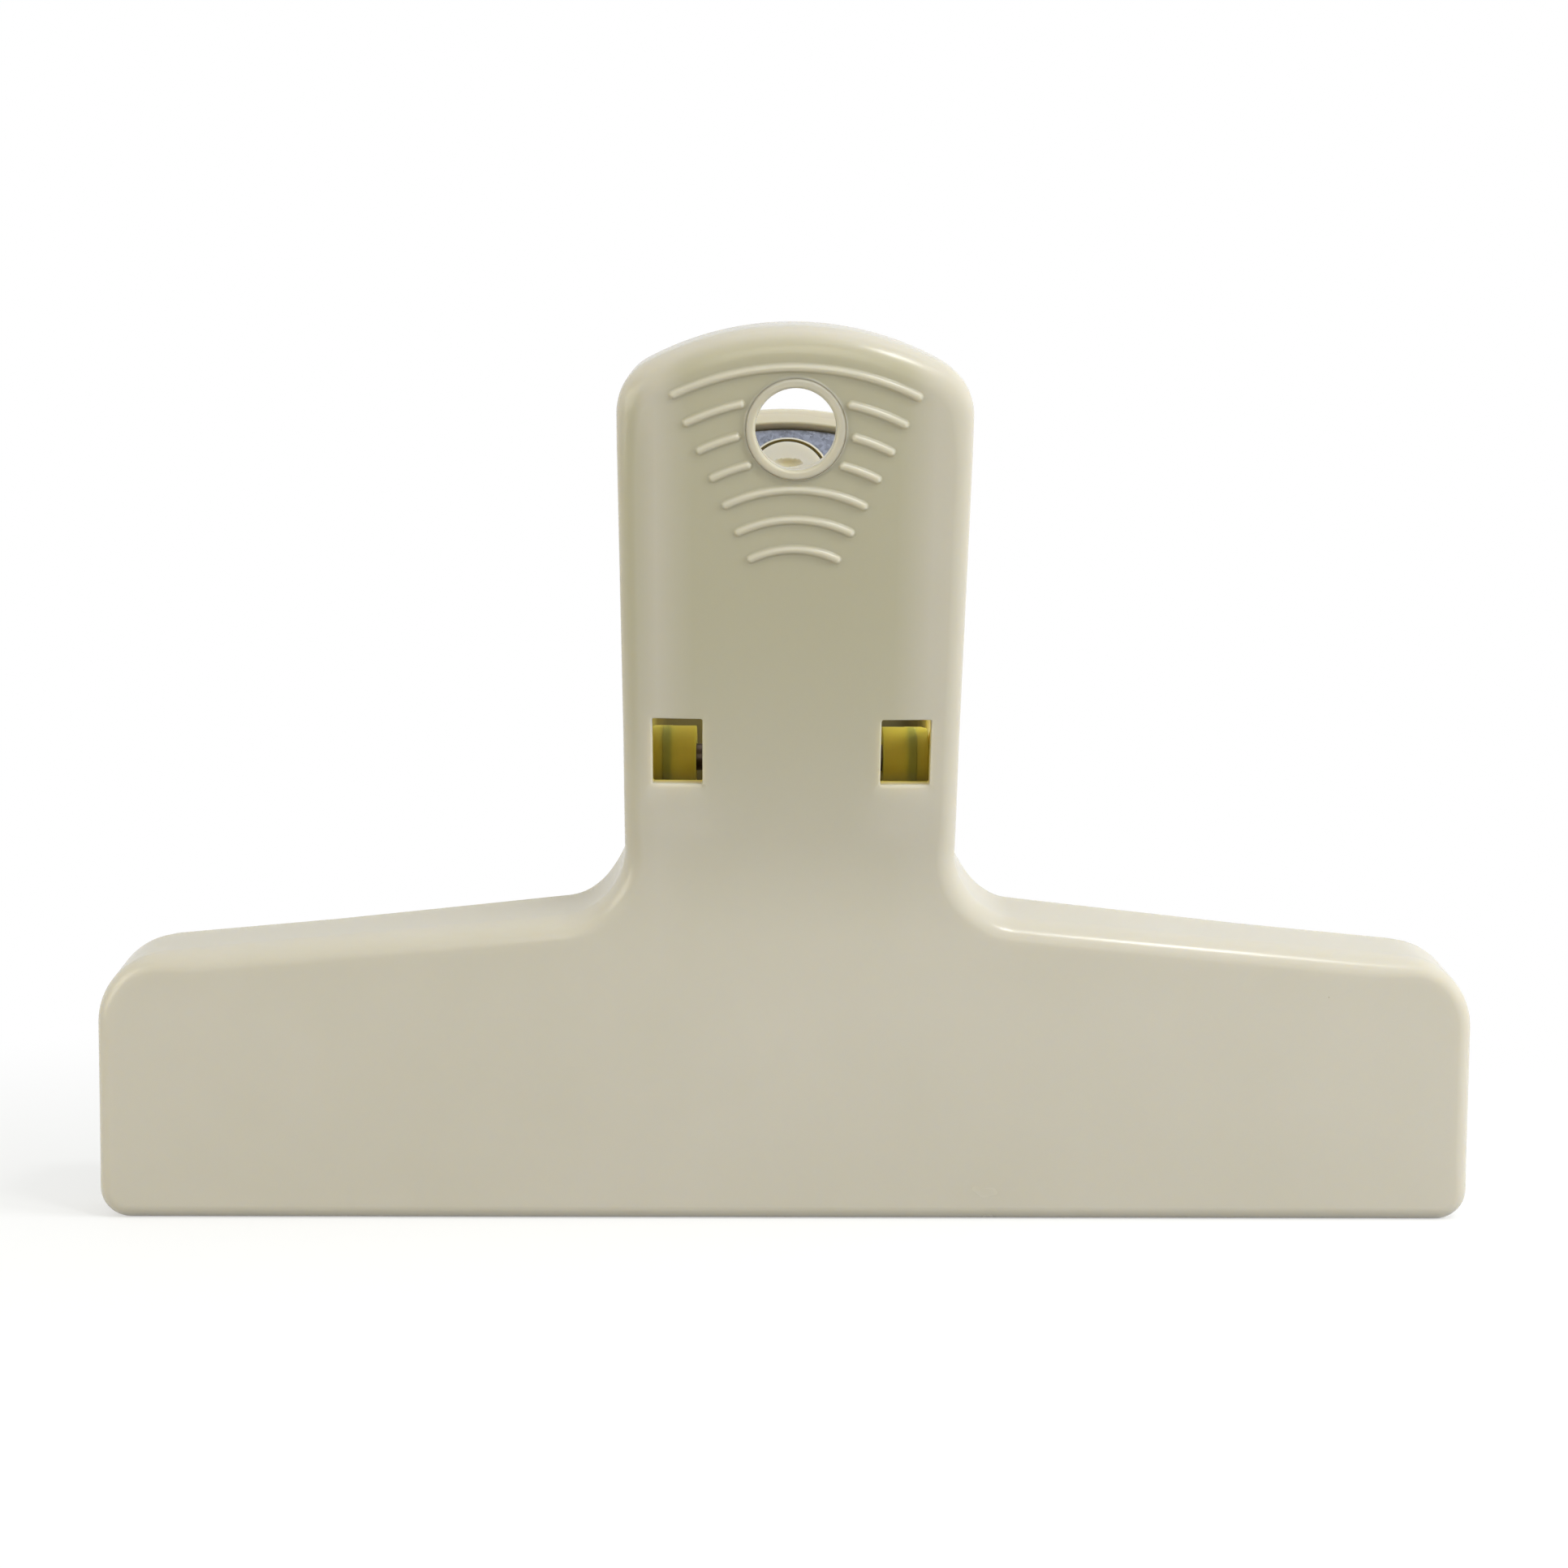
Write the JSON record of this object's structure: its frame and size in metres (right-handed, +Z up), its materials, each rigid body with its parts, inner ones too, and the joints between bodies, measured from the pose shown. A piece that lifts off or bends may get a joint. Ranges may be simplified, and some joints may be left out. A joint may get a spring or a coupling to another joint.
{
  "type": "magnetic_clip",
  "caption": "Wide magnetic bag clip in ivory plastic: two T-shaped levers on a steel pin with a torsion spring, fan ribs, a hang hole and a magnet set in the back handle.",
  "frame": {"origin": "Under the middle of the closed jaws, on the plane that the lips stand on.", "axes": "+X runs along the jaws to the right as seen from the front, +Y points to the back where the magnet is, +Z points up to the handles."},
  "size_m": [0.15, 0.0519, 0.0951],
  "materials": {
    "ivory_plastic": "satin moulded ivory plastic",
    "pin_steel": "drawn steel rod",
    "spring_steel": "drawn spring wire",
    "ferrite": "bare dark grey sintered ferrite",
    "zinc_plate": "bright zinc plating"
  },
  "bodies": {
    "back": {"back_lever": "ivory_plastic", "hinge_pin": "pin_steel", "torsion_spring": "spring_steel", "magnet": "ferrite", "magnet_plate": "zinc_plate", "magnet_rivet": "ivory_plastic"},
    "front": {"front_lever": "ivory_plastic"}
  },
  "joints": [
    {"name": "hinge", "type": "hinge", "parent": "back", "child": "front", "pos_m": [0, 0, 0.05068], "axis": [-1, 0, 0], "range_deg": [0, 40], "stiffness_Nm_per_rad": 0.3, "deforming": ["torsion_spring"]}
  ]
}
